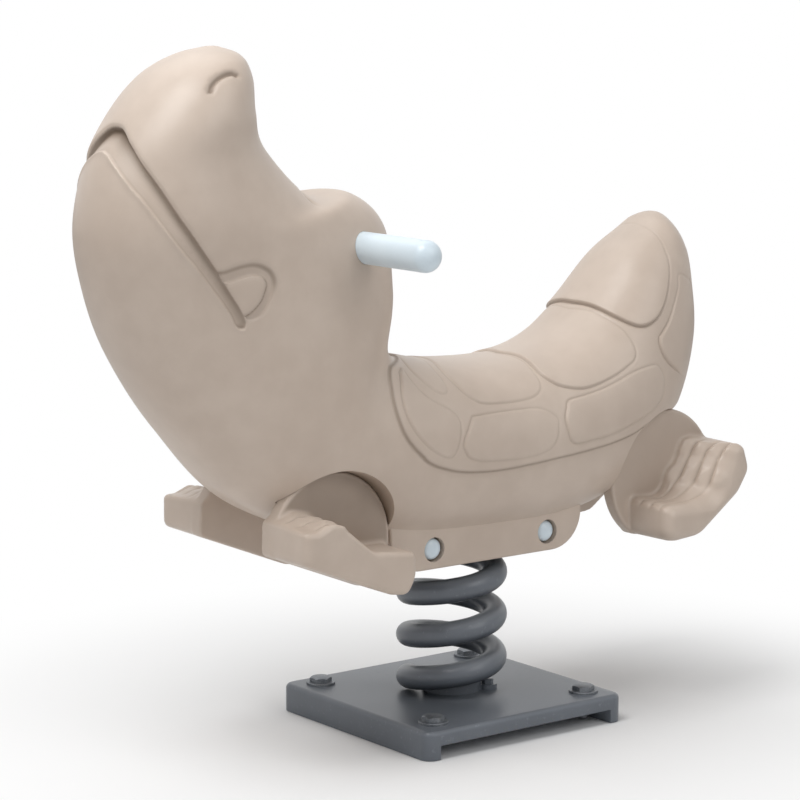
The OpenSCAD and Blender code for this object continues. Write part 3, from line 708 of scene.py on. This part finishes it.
def carve_cheek(skin):
    """Arched hollow above the corner of the mouth, with an island in it."""
    outer, inner = curve_through(CHEEK_OUTER), curve_through(CHEEK_INNER)
    away, core = skin.distance(outer, 14), skin.distance(inner, 14)
    island = skin.inside(inner)
    ring = skin.inside(np.concatenate([outer, [(6.77, 109.5), (6.29, 110)]])) & ~island
    # Painted shade lies on the upper edge of the hollow and the lower edge of the island, which look away
    # from the light.
    rim = 0.85 * hump(away, 3.0) * (1 - 0.85 * rise(skin.t, 6.45, 6.80))
    foot = 1.20 * hump(core, 2.4) * rise(skin.t, 6.25, 6.50)
    hollow = np.where(ring, 3.0 * rise(away, 0, 2.6) * rise(core, 0, 2.2), 0)
    swell = np.where(island, 0.7 * rise(core, 0, 5), 0)
    skin.cut(swell - hollow - 0.9 * hump(away, 1.5),
             np.where(ring, np.maximum(np.maximum(rim, foot), 0.10), np.where(island, 0.5 * foot, rim)))


def carve_eye(skin):
    away = skin.distance(curve_through(EYE), 14)
    # Painted shade along the eye's groove.
    skin.cut(-4.0 * (1 - rise(away, 0.8, 5.0)), hump(away, 3.5))


def carve_crease(skin):
    """Fold where the back of the head meets the neck, fading down the sides, with painted shade along it."""
    away = skin.distance(curve_through(CREASE), 16)
    fade = 1 - rise(skin.a, 20, 46)
    skin.cut(-4.0 * fade * hump(away, 3.6), 0.90 * fade * hump(away, 3.2))


def scute_path(outline):
    """Line round a scute, which is open where the scute crosses the middle of the back."""
    return curve_through(outline if outline[0][1] == 0 else outline + outline[:1])


def carve_shell(skin):
    """Shell with its rim and scutes, and painted shade along their lines."""
    rim = curve_through(RIM)
    shell = skin.inside(np.concatenate([rim, [(19, 190), (19, -10), (9.72, -10)]]))
    away = skin.distance(rim, 60)
    # The body is let in along the rim, so that the shell stands proud of it.
    below = np.where(shell, 0, rise(away, 0, 2.4) * (1 - rise(away, 4, 55)))
    line = hump(away, 2.0)
    skin.cut(-3.2 * below - 1.6 * line * np.where(shell, 0.4, 1), 0.85 * line)
    # The scutes fade out under the tail.
    fade = 1 - rise(skin.a, 102, 122)
    for outline, front, rear in SCUTES:
        path = scute_path(outline)
        filled = np.concatenate([path, [(path[-1][0], -10), (path[0][0], -10)]]) if path[0][1] == 0 else path
        plate = skin.inside(filled)
        edge = skin.distance(path, 12)
        first, last = path[:, 0].min(), path[:, 0].max()
        back = np.clip((skin.t - first) / (last - first), 0, 1)
        height = fade * (rear + (front - rear) * (1 - back) ** 1.6)
        ahead = height / 4.0
        groove_and_painted_shade = fade * hump(edge, 1.5)
        skin.cut(np.where(plate, height * rise(edge, 0, 2.6), 0) - (0.5 + 1.2 * ahead) * groove_and_painted_shade,
                 groove_and_painted_shade * np.clip(0.08 + 0.85 * ahead ** 1.4, 0, 0.9))


class Plan:
    """Flat plan of the left half of the body, nearly true to length, in which its faces are laid out."""

    def __init__(self):
        self.t = np.linspace(0, LAST, 641)
        grid = skin_at(self.t[:, None], np.linspace(0, 180, 61)[None, :])
        run = np.linalg.norm(np.diff(grid, axis=0), axis=-1).mean(1)
        self.u = np.concatenate([[0], np.cumsum(run)])
        self.girth = np.linalg.norm(np.diff(grid, axis=1), axis=-1).sum(1)

    def flat(self, spots):
        girth = np.interp(spots[:, 0], self.t, self.girth)
        return np.stack([np.interp(spots[:, 0], self.t, self.u), (spots[:, 1] / 180 - 0.5) * girth], 1)

    def spots(self, flat):
        girth = np.interp(flat[:, 0], self.u, self.girth)
        return np.stack([np.interp(flat[:, 0], self.u, self.t), (flat[:, 1] / girth + 0.5) * 180], 1)


def on_body(spots):
    """Spots on the left half, those next to its middle plane put on it."""
    angle = spots[:, 1]
    angle = np.where(np.abs(angle) < 0.5, 0, np.where(np.abs(angle - 180) < 0.5, 180, angle))
    return np.stack([spots[:, 0], angle], 1)[(angle >= 0) & (angle <= 180)]


def apart(spots, gap):
    """Spots without those that share a small cell with an earlier one."""
    cells = np.round(skin_at(*spots.T) / gap)
    return spots[np.sort(np.unique(cells, axis=0, return_index=True)[1])]


def clear_of(spots, taken, gap):
    """Spots that are further than a gap from all of the taken ones."""
    tree = KDTree(len(taken))
    for k, point in enumerate(skin_at(*taken.T)):
        tree.insert(point, k)
    tree.balance()
    return spots[[tree.find(point)[2] > gap for point in skin_at(*spots.T)]]


def plain_spots(gap):
    """Spots evenly over the left half of the body."""
    angles = np.arange(181.0)
    grid = skin_at(np.arange(LAST + 1.0)[:, None], angles[None, ::15])
    steps = np.ceil(np.linalg.norm(np.diff(grid, axis=0), axis=-1).max(1) / gap).astype(int)
    places = np.concatenate([[0], *[i + np.arange(1, n + 1) / n for i, n in enumerate(steps)]])
    return on_body(np.concatenate([evenly(np.stack([0 * angles + t, angles], 1), gap) for t in places]))


def lay_out():
    """Spots and faces of the left half of the body, with rows of points along every carved line."""
    line_gap, row_gap, skin_gap = 1.8, 0.8, 5.0
    carved = (UPPER_LIP, LOWER_LIP, CHEEK_OUTER, CHEEK_INNER, EYE, CREASE, RIM)
    lines = [curve_through(line) for line in carved] + [scute_path(outline) for outline, _, _ in SCUTES]
    lines = [evenly(line, line_gap) for line in lines]
    spots = apart(on_body(np.concatenate(lines)), line_gap / 2)
    for reach in (1.0, 2.2, 3.8):
        rows = [beside(line, side) for line in lines for side in (reach, -reach)]
        rows = apart(on_body(np.concatenate(rows)), row_gap)
        spots = np.concatenate([spots, clear_of(rows, spots, row_gap)])
    spots = np.concatenate([spots, clear_of(plain_spots(skin_gap), spots, 0.56 * skin_gap)])
    t, a = spots.T
    border = []
    for side, order in ((a == 0, t), (t == LAST, a), (a == 180, -t), (t == 0, -a)):
        found = np.flatnonzero(side)
        border += found[np.argsort(order[found], kind="stable")].tolist()
    border = list(dict.fromkeys(border))
    plan = Plan()
    made = delaunay_2d_cdt([Vector(p) for p in plan.flat(spots)], [], [border], 1, 1e-5)
    spots = plan.spots(np.array([v[:] for v in made[0]]))
    for column, edge in ((1, 0), (1, 180), (0, 0), (0, LAST)):
        spots[np.abs(spots[:, column] - edge) < 1e-3, column] = edge
    return spots, np.array(made[2])


def body_skin():
    """The closed skin of the body with its carving: points, faces, shade of the carved lines, and the points
    near the two ends."""
    spots, left_faces = lay_out()
    skin = Skin(spots)
    for carve in (carve_mouth, carve_cheek, carve_eye, carve_crease, carve_shell):
        carve(skin)
    middle = (skin.a == 0) | (skin.a == 180)
    normal = slopes_at(skin.t, skin.a)[3]
    normal[middle, 1] = 0
    left = skin.points + unit(normal) * skin.depth[:, None]
    left[middle, 1] = 0
    twin = np.where(middle, np.arange(len(left)), len(left) + np.cumsum(~middle) - 1)
    points = np.concatenate([left, left[~middle] * [1, -1, 1]])
    shade = np.concatenate([skin.groove_and_painted_shade, skin.groove_and_painted_shade[~middle]])
    place = np.concatenate([skin.t, skin.t[~middle]])
    faces = left_faces[:, ::-1].tolist() + twin[left_faces].tolist()
    for end, height in END_DOMES.items():
        side = np.flatnonzero(skin.t == end)
        side = side[np.argsort(skin.a[side])]
        ring = np.concatenate([side, twin[side[1:-1]][::-1]])
        centre = points[ring].mean(0)
        away = height * unit(centre - points[np.abs(place - abs(end - 0.3)) < 0.1].mean(0))
        rows = [ring]
        for share in (0.75, 0.45):
            rows.append(np.arange(len(points), len(points) + len(ring)))
            row = centre + share * (points[ring] - centre) + away * (1 - share ** 2)
            points = np.concatenate([points, row])
        rows.append([len(points)] * len(ring))
        points = np.concatenate([points, [centre + away]])
        faces += strips(rows)
        place = np.concatenate([place, np.full(len(points) - len(place), end)])
    shade = np.concatenate([shade, np.zeros(len(points) - len(shade))])
    return points, faces, shade, np.minimum(place, LAST - place) < 1.2


def rounded_outline(corners, steps=8):
    """Closed outline with rounded corners, each given as X, height and radius."""
    out = []
    p = np.array(corners, float)
    for a, b, c in zip(np.roll(p, 1, 0), p, np.roll(p, -1, 0)):
        u, v = unit(a[:2] - b[:2]), unit(c[:2] - b[:2])
        turn = math.acos(np.clip(u @ v, -1, 1))
        reach = b[2] / math.tan(turn / 2)
        middle = b[:2] + unit(u + v) * b[2] / math.sin(turn / 2)
        start, end = (math.atan2(*(b[:2] + way * reach - middle)[::-1]) for way in (u, v))
        sweep = (end - start + math.pi) % (2 * math.pi) - math.pi
        angle = start + sweep * np.arange(steps + 1) / steps
        out.append(middle + b[2] * np.stack([np.cos(angle), np.sin(angle)], 1))
    return np.concatenate(out)


def slab(outline, half, edge):
    """Solid between -half and half across, from an outline in X and height, with rounded side edges."""
    run = unit(outline - np.roll(outline, 1, 0)) + unit(np.roll(outline, -1, 0) - outline)
    square = unit(np.stack([run[:, 1], -run[:, 0]], 1))
    square *= np.sign(((outline - outline.mean(0)) * square).sum())
    turns = np.linspace(0, math.pi / 2, 6)
    rows = [(edge * (1 - math.sin(a)), half - edge * (1 - math.cos(a))) for a in turns]
    rows += [(inset, -y) for inset, y in rows[::-1]]
    points = [(q[0], y, q[1]) for inset, y in rows for q in outline - square * inset]
    rings = np.arange(len(points)).reshape(len(rows), len(outline))
    return np.array(points), strips(rings) + [rings[0, ::-1].tolist(), rings[-1].tolist()]


def cutter(name, solid, shade=0):
    """A helper solid for the body's keel and seats, with the shade of the faces that it leaves there."""
    piece = make_piece(name, *solid, "beige_plastic")
    darken(piece.data, np.full(len(solid[0]), float(shade)))
    turn_outwards(piece.data, [])
    return piece


def turn_outwards(mesh, soft):
    """Makes all faces look outwards, and evens out the points that are soft."""
    bm = bmesh.new()
    bm.from_mesh(mesh)
    bmesh.ops.recalc_face_normals(bm, faces=bm.faces)
    bm.verts.ensure_lookup_table()
    chosen = [bm.verts[int(k)] for k in soft]
    for _ in range(6 if chosen else 0):
        bmesh.ops.smooth_vert(bm, verts=chosen, factor=0.5, use_axis_x=True, use_axis_y=True, use_axis_z=True)
    bm.to_mesh(mesh)
    bm.free()


def combine(piece, tool, operation):
    """Joins or cuts a piece with a helper solid, which is then removed."""
    step = piece.modifiers.new("seat", "BOOLEAN")
    step.operation = operation
    step.solver = "MANIFOLD"
    step.object = tool
    bpy.context.view_layer.update()
    graph = bpy.context.evaluated_depsgraph_get()
    mesh = bpy.data.meshes.new_from_object(piece.evaluated_get(graph))
    piece.modifiers.clear()
    old = piece.data
    piece.data = mesh
    bpy.data.meshes.remove(old)
    bpy.data.objects.remove(tool)


def plug(place, side, start, radius, sides=96, flare=()):
    """Round helper at an X and height, from a start out to one side. A flare has reaches and widenings."""
    length = SEAT_END - start
    rows = [(0, 0), *flare, (length, flare[-1][1] if flare else 0)]
    solid = turned([(0, 0), *[(radius + more, reach) for reach, more in rows], (0, length)], sides)
    return sideways(solid, side, place, start)


def box_solid(low, high):
    ends = list(zip(low, high))
    points = np.array([(x, y, z) for x in ends[0] for y in ends[1] for z in ends[2]])
    return points, [[0, 1, 3, 2], [4, 6, 7, 5], [0, 4, 5, 1], [2, 3, 7, 6], [0, 2, 6, 4], [1, 5, 7, 3]]


def sharpen_cuts(mesh):
    """Smooth shading over the carved skin, sharp edges where helpers cut it."""
    bm = bmesh.new()
    bm.from_mesh(mesh)
    skin = bm.faces.layers.int["skin"]
    for face in bm.faces:
        face.smooth = True
    for edge in bm.edges:
        if len(edge.link_faces) == 2:
            carved = all(face[skin] for face in edge.link_faces)
            edge.smooth = carved or edge.calc_face_angle() < math.radians(30)
    bm.to_mesh(mesh)
    bm.free()
    mesh.attributes.remove(mesh.attributes["skin"])


def make_body():
    points, faces, shade, ends = body_skin()
    low, high = np.array(cad_box) / MM
    body = make_piece("turtle_body", np.clip(points, low, high), faces, "beige_plastic")
    turn_outwards(body.data, np.flatnonzero(ends))
    darken(body.data, shade)
    body.data.attributes.new("skin", "INT", "FACE").data.foreach_set("value", [1] * len(body.data.polygons))
    keel = rounded_outline([(-KEEL_X, KEEL_Z, KEEL_R), (KEEL_X, KEEL_Z, KEEL_R),
                            (KEEL_X + KEEL_NOSE, KEEL_Z + KEEL_TOP, 1),
                            (KEEL_LEAN - KEEL_X, KEEL_Z + KEEL_TOP, 1)], 14)
    combine(body, cutter("keel", slab(keel, KEEL_Y, KEEL_EDGE)), "UNION")
    under, top = KEEL_Z - 9, HEAD_Z + HEAD_T + SEAT_GAP
    coil_room = turned([(0, under), (COIL_ROOM_R, under), (COIL_ROOM_R, top), (0, top)], 96)
    head_room = box_solid((-HEAD_ROOM_X, -HEAD_ROOM_Y, under), (HEAD_ROOM_X, HEAD_ROOM_Y, top))
    seats = [("coil_room", coil_room, 0), ("head_room", head_room, 0)]
    for side in (1, -1):
        for place in (FRONT_FOOT, REAR_FOOT):
            # The footrests' seats carry painted shade on their walls.
            seat = plug(place, side, FOOT_SEAT, DISC_R + SEAT_GAP, 160, SEAT_FLARE)
            seats.append(("foot_seat", seat, SEAT_SHADE))
        seats.append(("bar_seat", plug((BAR_X, BAR_Z), side, GRIP_SEAT, GRIP_R + SEAT_GAP), 0))
        for x in (-BOLT_X, BOLT_X):
            seats.append(("recess", plug((x, BOLT_Z), side, RECESS_SEAT, RECESS_R), 0))
    for seat in seats:
        combine(body, cutter(*seat), "DIFFERENCE")
    sharpen_cuts(body.data)
    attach(body, "rider")
    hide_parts("body_shell")


# Footrests

def outline_distance(outline, x, z):
    """Signed distance from a closed outline, negative inside."""
    closed = np.concatenate([outline, outline[:1]])
    away = line_distance(closed, np.stack([x, z], -1), math.inf)
    return np.where(within(outline, x, z), -1, 1) * away


def overlap_of(first, second, edge):
    """Distance from what two shapes share, with the edges between them rounded."""
    u, v = first + edge, second + edge
    return np.minimum(np.maximum(u, v), 0) + np.hypot(np.maximum(u, 0), np.maximum(v, 0)) - edge


def soft_union(first, second, size):
    """Distance from two shapes together, with a hollow of some size where they meet."""
    share = np.clip(0.5 + 0.5 * (second - first) / size, 0, 1)
    return second * (1 - share) + first * share - size * share * (1 - share)


def surface_of(field, origin, step):
    """Closed mesh where a field of values on a grid passes through nought, one point to a cell on its way."""
    below = field < 0
    cells = tuple(n - 1 for n in field.shape)
    total, count = np.zeros(cells + (3,)), np.zeros(cells)

    def part(grid, c):
        return grid[tuple(slice(k, k + n) for k, n in zip(c, cells))]

    for a in np.ndindex(2, 2, 2):
        for axis in range(3):
            if a[axis]:
                continue
            b = tuple(v + (n == axis) for n, v in enumerate(a))
            fa, fb = part(field, a), part(field, b)
            passes = part(below, a) != part(below, b)
            share = np.where(passes, fa / np.where(passes, fa - fb, 1), 0)
            for n in range(3):
                total[..., n] += np.where(passes, a[n] + (share if n == axis else 0), 0)
            count += passes
    used = count > 0
    ids = np.full(cells, -1)
    ids[used] = np.arange(used.sum())
    points = np.asarray(origin) + step * (np.argwhere(used) + total[used] / count[used][:, None])
    faces = []
    for axis in range(3):
        u, v = np.delete(np.roll(np.eye(3, dtype=int), -axis - 1, 0), 2, 0)
        low, high = (np.take(below, np.arange(cells[axis]) + k, axis) for k in (0, 1))
        spots = np.argwhere(low != high)
        inner = ((spots > 0) & (spots < cells)) | (np.arange(3) == axis)
        spots = spots[inner.all(1)]
        quads = np.stack([ids[tuple(cell.T)] for cell in (spots, spots - u, spots - u - v, spots - v)], 1)
        flip = ~low[tuple(spots.T)]
        quads[flip] = quads[flip, ::-1]
        faces += quads.tolist()
    return points, faces


def toe_marks(x, y, z, lines, dips, swells):
    """How much the grooves between the toes and the toes' swell take off, and the shade of the grooves."""
    nearest = np.min([np.abs(y - line) for line in lines], axis=0)

    def spread(marks):
        out = 0.0
        for mark_x, mark_z, slant, reach, amount in marks:
            away = np.hypot(x - mark_x - slant * (y - lines[0]), z - mark_z)
            out = np.maximum(out, amount * (1 - rise(away, 0.25 * reach, reach)))
        return out

    valley, crown = 1 - rise(nearest, 0, 3.4), rise(nearest, 1.0, (lines[1] - lines[0]) / 2)
    deep = spread(dips)
    return valley * deep - crown * spread(swells), hump(nearest, 1.4) * np.clip(deep / 4, 0, 0.6)


def footrest(sole, tops, plan, toes, edge, painted_shading):
    """Round wall with a foot-shaped tray, left side, from the centre of the wall, and its shade. Edge is the
    rounding of the tray, and the last argument the painted shadow on the wall's face."""
    x = np.arange(*FOOT_X, FOOT_STEP)[:, None, None]
    y = np.arange(FOOT_SEAT - 5, FOOT_OUT + 6, FOOT_STEP)[None, :, None]
    z = np.arange(*FOOT_Z, FOOT_STEP)[None, None, :]
    inside, outside = [outline_distance(rounded_outline(sole + top), x + 0 * z, z + 0 * x) for top in tops]
    outer = np.clip((y - FOOT_INNER) / (FOOT_OUT - FOOT_INNER), 0, 1)
    tray = inside * (1 - outer) + outside * outer + toe_marks(x, y, z, *toes)[0]
    above = outline_distance(rounded_outline(plan), x + 0 * y, y + 0 * x)
    # The round wall ends at the sole, and is whole beyond the sole's ends.
    far = math.copysign(2 * DISC_R + 2, sole[-1][0])
    clip = [(p[0], p[1] + 0.5) for p in sole]
    clip += [(far, sole[-1][1] + DISC_R / 2), (far, abs(far)), (-far, abs(far)), (-far, sole[0][1])]
    wall = np.maximum(np.hypot(x, z) - DISC_R, outline_distance(np.array(clip, float), x + 0 * z, z + 0 * x))
    span = np.abs(y - FOOT_SEAT - DISC_T / 2) - DISC_T / 2
    inner = FOOT_SEAT - y
    tray = np.maximum(overlap_of(tray, above, edge), inner)
    field = soft_union(tray, overlap_of(wall, span, 4.0), 5.0)
    points, faces = surface_of(np.maximum(field, inner), (x.min(), y.min(), z.min()), FOOT_STEP)
    # Painted shadow lies on the face of the wall, clear of the tray and of the wall's rim.
    px, py, pz = points.T
    clear = rise(outline_distance(rounded_outline(sole + tops[0]), px, pz), 0, 8)
    clear *= rise(DISC_R - np.hypot(px, pz), 1, 6)
    face = painted_shading * clear * hump(py - FOOT_SEAT - DISC_T, 1.5)
    return points, faces, np.maximum(face, toe_marks(px, py, pz, *toes)[1])


def make_footrests():
    front = footrest(FRONT_SOLE, FRONT_TOPS, FRONT_PLAN, FRONT_TOES, edge=6.5, painted_shading=0.75)
    rear = footrest(REAR_SOLE, REAR_TOPS, REAR_PLAN, REAR_TOES, edge=15, painted_shading=0.25)
    for kind, place, solid in (("front", FRONT_FOOT, front), ("rear", REAR_FOOT, rear)):
        for side, word in ((1, "left"), (-1, "right")):
            points, faces = moved(solid[:2], np.diag([1, side, 1]), (place[0], 0, place[1]))
            piece = make_piece(f"{kind}_footrest_{word}", points, faces, "beige_plastic")
            darken(piece.data, solid[2])
            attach(piece, "rider")
            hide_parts(f"{kind}_foot_{word}")


# Handle and caps

def make_handle():
    length = BAR_HALF - GRIP_SEAT
    outline = [(0, GRIP_DEPTH), (GRIP_BORE, GRIP_DEPTH), (GRIP_BORE, 0), (GRIP_R - 1, 0), (GRIP_R, 1)]
    outline += dome(GRIP_R, length - GRIP_DOME, length, 18)
    for side, word in ((1, "left"), (-1, "right")):
        solid = sideways(turned(outline, 72), side, (BAR_X, BAR_Z), GRIP_SEAT)
        piece = make_piece(f"handle_grip_{word}", *solid, "white_plastic", 40)
        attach(piece, "rider")
        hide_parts(f"grip_{word}")


def make_caps():
    outline = [(0, CAP_DEPTH), (CAP_BORE, CAP_DEPTH), (CAP_BORE, 0), (CAP_R, 0)]
    outline += dome(CAP_R, CAP_RIM, CAP_H, 14)
    caps = group([sideways(turned(outline, 56), side, (x, BOLT_Z), CAP_SEAT)
                  for x in (-BOLT_X, BOLT_X) for side in (1, -1)])
    piece = make_piece("keel_caps", *caps, "white_plastic", 40)
    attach(piece, "rider")
    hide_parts("bolt_caps")


def dress_plain_nodes():
    """Gives every solid of the frame its finish, the ones inside the body too."""
    for part in frame["record"]["subparts"]:
        mesh = frame["nodes"][part["node"]].data
        mesh.materials.clear()
        mesh.materials.append(FINISHES[part["material_slot"]])


# Stage

def make_floor():
    """Pale floor that keeps the shadow near the rider and goes to plain white further away."""
    mesh = bpy.data.meshes.new("floor")
    half = 14
    corners = [(-half, -half, 0), (half, -half, 0), (half, half, 0), (-half, half, 0)]
    mesh.from_pydata(corners, [], [(0, 1, 2, 3)])
    floor = add_object("floor", mesh)
    floor.location.z = -0.0003
    material = bpy.data.materials.new("floor")
    start = empty_tree(material)
    spot = start.node("TexCoord", {}, "Object")
    far = start.node("VectorMath", {0: spot}, "Value", operation="LENGTH")
    lit = start.node("BsdfDiffuse", {"Color": (0.93, 0.93, 0.93)})
    glow = start.node("Emission", {"Color": (1, 1, 1), "Strength": 1})
    seen = start.node("LightPath", {}, "Is Camera Ray")
    share = far.band(0.22, 0.80) * seen
    shown = start.node("MixShader", {0: share, 1: lit, 2: glow})
    start.node("OutputMaterial", {"Surface": shown})
    mesh.materials.append(material)


def make_world():
    """White surroundings, dimmer as a light than they look to the camera and in reflections."""
    world = bpy.data.worlds.new("studio")
    bpy.context.scene.world = world
    start = empty_tree(world)
    camera, gloss, through = [start.node("LightPath", {}, f"Is {kind} Ray")
                              for kind in ("Camera", "Glossy", "Transmission")]
    seen = start.maths("MINIMUM", camera + gloss + through, 1)
    sky = start.node("Background", {"Color": (1, 1, 1), "Strength": 0.30 + 0.70 * seen})
    start.node("OutputWorld", {"Surface": sky})


add_camera()
make_world()
make_floor()
add_lamp("key", (1.45, 0.25, 2.80), (0.05, 0, 0.45), 1.5, 48)
add_lamp("top", (0.2, -0.9, 2.6), (0, 0, 0.4), 2.0, 14)
add_lamp("fill", (-0.7, 2.7, 2.1), (0, 0, 0.4), 1.8, 21)
bpy.context.scene.view_settings.view_transform = "Standard"

dress_plain_nodes()
make_plate()
make_base_bolts()
make_spring()
make_body()
make_footrests()
make_handle()
make_caps()

bpy.context.view_layer.update()
